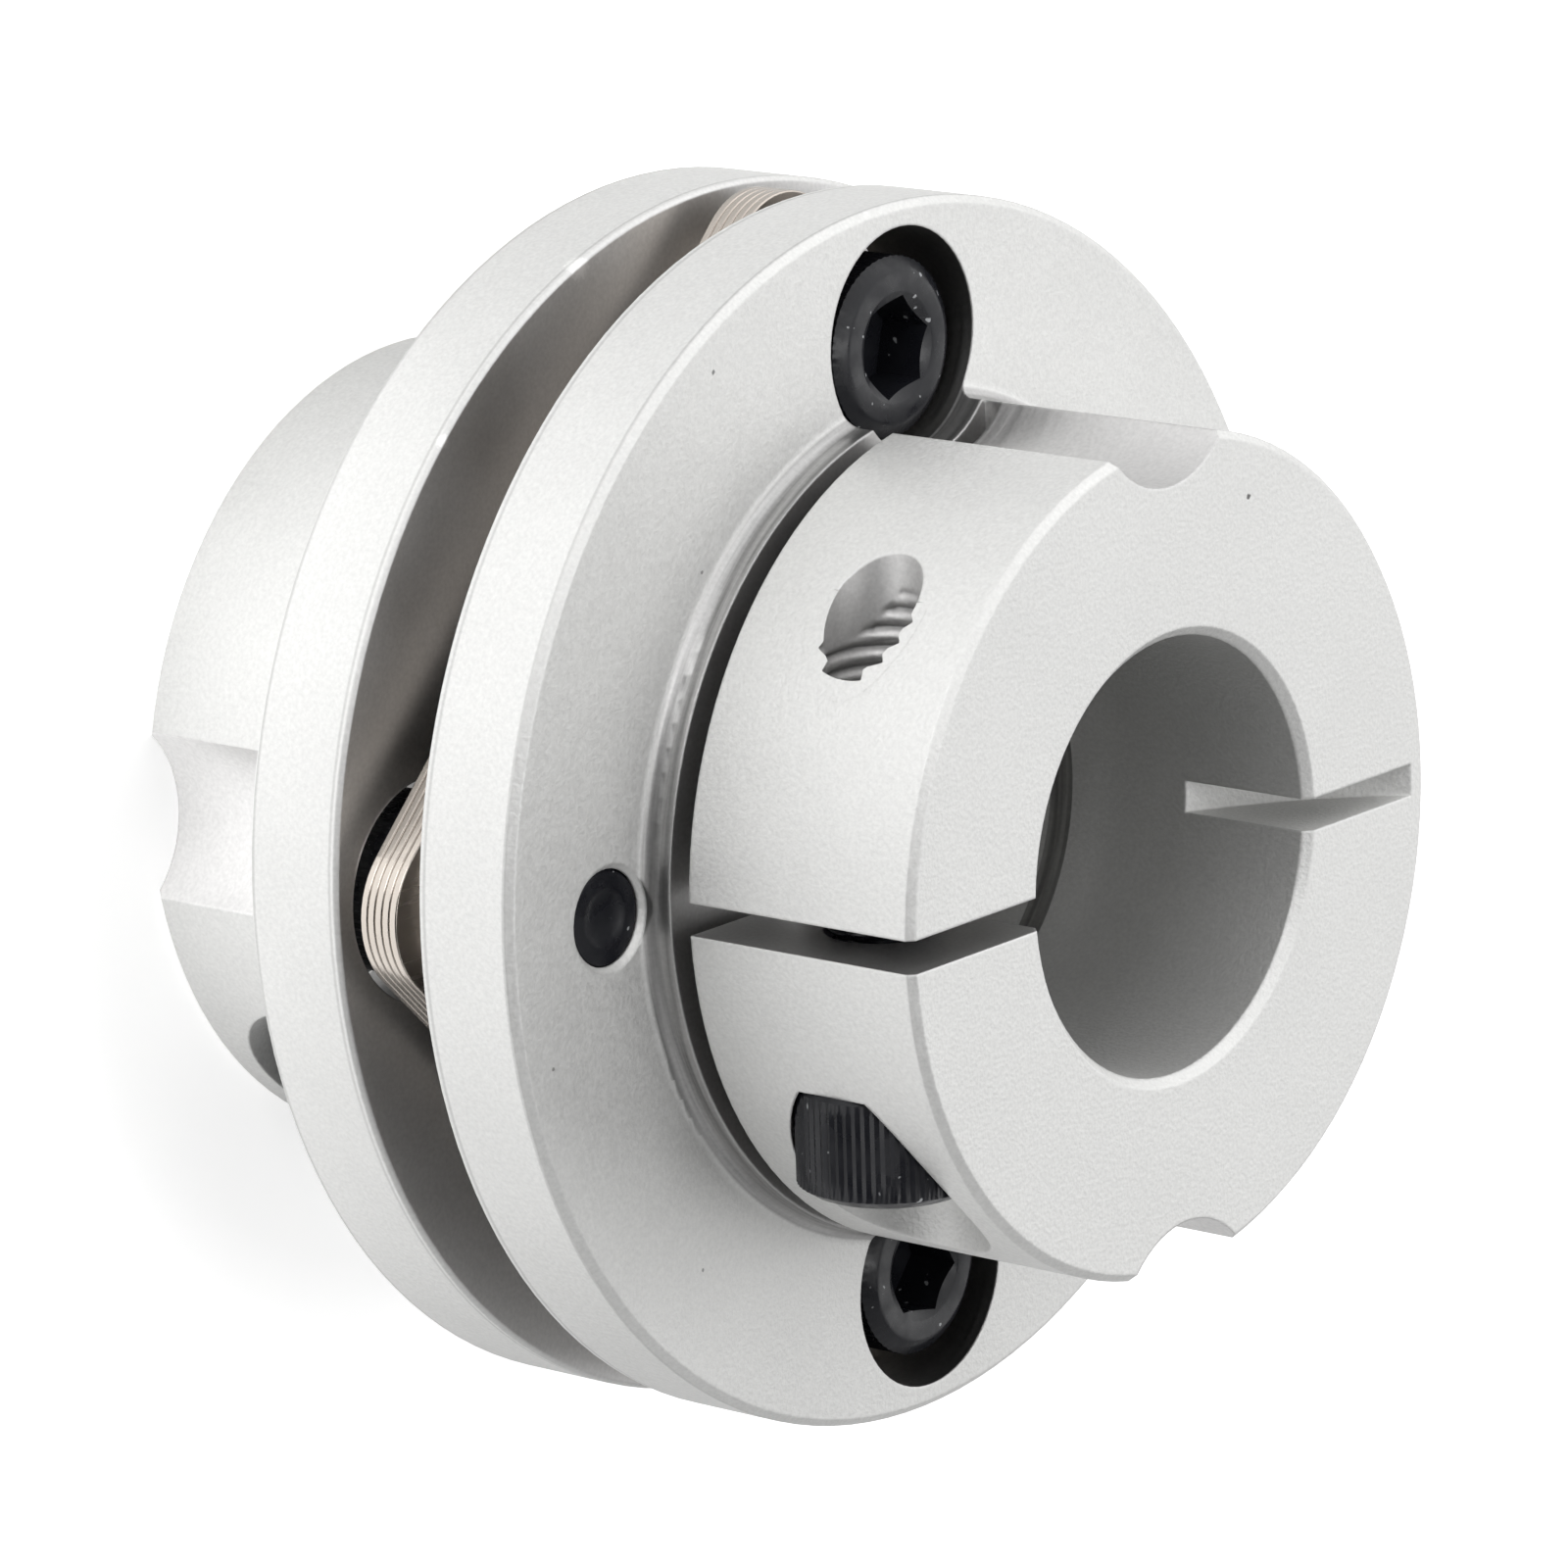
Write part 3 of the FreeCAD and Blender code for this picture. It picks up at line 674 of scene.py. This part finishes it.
def clamp_thread_points(front):
    """Ring points of the thread in a clamp ear, from the slit to its end or the hub's surface.

    Each line along the hole ends at the shorter of the thread's end and the place where the
    hub's own round surface cuts it.
    """
    sizes = bpy.context.scene.coupling_sizes
    angle = np.arange(THREAD_COLUMNS) * WHOLE_TURN / THREAD_COLUMNS
    start = sizes.saw_width / 2 - sizes.saw_shift + 0.02 * MM
    surface, _ = clamp_mouth(angle)
    end = np.minimum(sizes.thread_end + THREAD_RUN_ON, surface)
    along = start + np.linspace(0, 1, THREAD_ROWS)[:, None] * (end - start)[None, :]
    radius = clamp_thread_radius(along, angle[None, :])
    return in_hub_frame(-sizes.clamp_offset + radius * np.cos(angle), along,
                        radius * np.sin(angle), front)


def clamp_land_points(front):
    """Ring points of the lands between the grooves where the thread comes out of the hub.

    They lie on the hub's round surface. Round the screw's axis each ring goes from the
    thread's own radius there out over the edge of the room for it.
    """
    sizes = bpy.context.scene.coupling_sizes
    angle = np.arange(THREAD_COLUMNS) * WHOLE_TURN / THREAD_COLUMNS
    outer = sizes.shank_radius + LAND_REACH
    leaves, inner = clamp_mouth(angle)
    cut = leaves < sizes.thread_end
    outer_ring = np.where(cut, outer, inner)
    radius = inner + np.linspace(0, 1, LAND_ROWS)[:, None] * (outer_ring - inner)[None, :]
    sideways = -sizes.clamp_offset + radius * np.cos(angle)
    surface = np.sqrt((sizes.hub_radius + LAND_LIFT) ** 2 - sideways ** 2)
    return in_hub_frame(sideways, surface, radius * np.sin(angle), front)


def in_hub_frame(sideways, along, upward, front):
    """Points given from the clamp screw's axis, in the place of the front or the rear hub."""
    sizes = bpy.context.scene.coupling_sizes
    rise = sizes.flange_thick + sizes.clamp_height + upward
    low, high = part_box("front_hub" if front else "rear_hub")
    if front:
        return np.stack([sideways, along, low.z + rise], axis=-1)
    return np.stack([along, sideways, high.z - rise], axis=-1)


class COUPLING_OT_hubs(bpy.types.Operator):
    """Give both hubs their blasted aluminium, with machined holes, bore and slits"""
    bl_idname = "coupling.hubs"
    bl_label = "Hubs"

    def execute(self, context):
        for hub in HUBS:
            finish_node(hub, blasted_aluminium(hub))
        return {"FINISHED"}


class COUPLING_OT_pack(bpy.types.Operator):
    """Give the leaves and the spacer washers their steel"""
    bl_idname = "coupling.pack"
    bl_label = "Leaf pack"

    def execute(self, context):
        leaf, washer = spring_steel(), turned_steel()
        for node in sorted(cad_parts):
            if node.startswith("disc_leaf"):
                finish_node(node, leaf)
            elif "washer" in node:
                finish_node(node, washer)
        return {"FINISHED"}


class COUPLING_OT_screws(bpy.types.Operator):
    """Make the six cap screws with their knurl, socket and thread"""
    bl_idname = "coupling.screws"
    bl_label = "Cap screws"

    def execute(self, context):
        finish = black_oxide()
        height = context.scene.coupling_sizes.head_height
        for node in PACK_SCREWS + CLAMP_SCREWS:
            low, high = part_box(node)
            length = max(high - low) - height
            points = placed(screw_points(length), screw_place(node))
            mesh = grid_mesh(f"{node}_black", points, close_first=True, close_last=True)
            piece = new_piece(f"{node}_black", mesh, finish)
            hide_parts(node)
        return {"FINISHED"}


class COUPLING_OT_threads(bpy.types.Operator):
    """Cut the thread in the clamp ear of each hub"""
    bl_idname = "coupling.threads"
    bl_label = "Tapped holes"

    def execute(self, context):
        for hub in HUBS:
            front = hub == "front_hub"
            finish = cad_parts[hub].data.materials[0]
            thread = grid_mesh(f"{hub}_clamp_thread", clamp_thread_points(front))
            thread.flip_normals()
            new_piece(f"{hub}_clamp_thread", thread, finish)
            lands = grid_mesh(f"{hub}_thread_lands", clamp_land_points(front))
            new_piece(f"{hub}_thread_lands", lands, finish)
        return {"FINISHED"}


class COUPLING_OT_stage(bpy.types.Operator):
    """Lay the pale floor, light the studio and set the camera"""
    bl_idname = "coupling.stage"
    bl_label = "Studio"

    def execute(self, context):
        lay_floor()
        light_world()
        hang_lamps()
        set_camera()
        return {"FINISHED"}


class COUPLING_PT_panel(bpy.types.Panel):
    """Sizes, finishes and steps of the coupling"""
    bl_idname = "COUPLING_PT_panel"
    bl_label = "Disc coupling"
    bl_space_type = "VIEW_3D"
    bl_region_type = "UI"
    bl_category = "Coupling"

    def draw(self, context):
        for group in (context.scene.coupling_sizes, context.scene.coupling_finishes,
                      context.scene.coupling_studio):
            box = self.layout.box()
            for name in group.__annotations__:
                box.prop(group, name)
        for step in STEPS:
            self.layout.operator(step.bl_idname)


def finish_node(node, material):
    """Put a material in every slot of a CAD node."""
    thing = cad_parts[node]
    if not thing.material_slots:
        thing.data.materials.append(material)
    for slot in thing.material_slots:
        slot.material = material


def lay_floor():
    """A square floor under the coupling that looks white but keeps the shadow."""
    studio = bpy.context.scene.coupling_studio
    half = studio.floor_size / 2
    corners = np.array([[[-half, -half, 0], [half, -half, 0]],
                        [[-half, half, 0], [half, half, 0]]])
    mesh = grid_mesh("floor", corners, loop=False)
    floor = bpy.data.objects.new("floor", mesh)
    bpy.context.scene.collection.objects.link(floor)
    look = Shader(bpy.data.materials.new("floor_paper"))
    look.set("Base Color", tuple(studio.floor_colour))
    look.set("Roughness", 0.9)
    look.set("Specular IOR Level", 0.0)
    near = look.both(look.toward(*NEAR_POOL),
                     look.remap(look.span(look.x, look.y), 0.035, 0.075, 1.0, 0.0))
    pools = look.total([look.toward(*pool) for pool in FLOOR_POOLS] + [near])
    shine = look.both(look.seen_by("Glossy"), pools, studio.floor_shine)
    glow = look.both(look.seen_by("Camera", "Transmission"), studio.floor_glow)
    look.set("Emission Color", (1.0, 1.0, 1.0))
    look.set("Emission Strength", look.math("ADD", shine, glow))
    mesh.materials.append(look.owner)


def light_world():
    """A studio sky of soft pools of light, which is white where the lens sees it."""
    studio = bpy.context.scene.coupling_studio
    sky = Shader(bpy.data.worlds.new("studio"), "Background", "Generated")
    bpy.context.scene.world = sky.owner
    sky.set("Color", (1.0, 1.0, 1.0))
    pools = sky.total([sky.toward(*pool) for pool in SKY_POOLS])
    level = sky.blend(sky.seen_by("Camera"), sky.both(pools, studio.sky), 1.0)
    sky.set("Strength", level)


def hang_lamps():
    """Large soft lamps round the coupling, all turned to its middle."""
    studio = bpy.context.scene.coupling_studio
    for name, place, power in LAMPS:
        lamp = bpy.data.lights.new(name, "AREA")
        lamp.shape = "SQUARE"
        lamp.size = studio.lamp_size
        lamp.energy = power * studio.lamps
        holder = bpy.data.objects.new(name, lamp)
        holder.location = place
        aim = LAMP_AIM - Vector(place)
        holder.rotation_euler = aim.to_track_quat("-Z", "Y").to_euler()
        bpy.context.scene.collection.objects.link(holder)


def set_camera():
    """The camera at the photograph's viewing angle, rolled so that +Y is up."""
    studio = bpy.context.scene.coupling_studio
    lens = bpy.data.cameras.new("camera")
    lens.sensor_width = 36.0
    lens.lens = studio.lens
    lens.clip_start = 0.01
    lens.clip_end = 20.0
    eye, aim = Vector(studio.eye), Vector(studio.aim)
    level = (aim - eye).to_track_quat("-Z", "Y").to_matrix().to_4x4()
    camera = bpy.data.objects.new("camera", lens)
    camera.matrix_world = (Matrix.Translation(eye) @ level
                           @ Matrix.Rotation(studio.roll, 4, "Z"))
    bpy.context.scene.collection.objects.link(camera)
    bpy.context.scene.camera = camera


GROUPS = (CouplingSizes, CouplingFinishes, CouplingStudio)
STEPS = (COUPLING_OT_hubs, COUPLING_OT_pack, COUPLING_OT_screws, COUPLING_OT_threads,
         COUPLING_OT_stage)


def register():
    """Register the classes and hang the three groups on the scene."""
    for kind in GROUPS + STEPS + (COUPLING_PT_panel,):
        bpy.utils.register_class(kind)
    bpy.types.Scene.coupling_sizes = PointerProperty(type=CouplingSizes)
    bpy.types.Scene.coupling_finishes = PointerProperty(type=CouplingFinishes)
    bpy.types.Scene.coupling_studio = PointerProperty(type=CouplingStudio)


def unregister():
    """Take the groups and classes away again."""
    for name in ("coupling_studio", "coupling_finishes", "coupling_sizes"):
        delattr(bpy.types.Scene, name)
    for kind in reversed(GROUPS + STEPS + (COUPLING_PT_panel,)):
        bpy.utils.unregister_class(kind)


def main():
    register()
    bpy.context.scene.view_settings.view_transform = "Standard"
    bpy.ops.coupling.hubs()
    bpy.ops.coupling.pack()
    bpy.ops.coupling.screws()
    bpy.ops.coupling.threads()
    bpy.ops.coupling.stage()


if __name__ == "__main__":
    main()
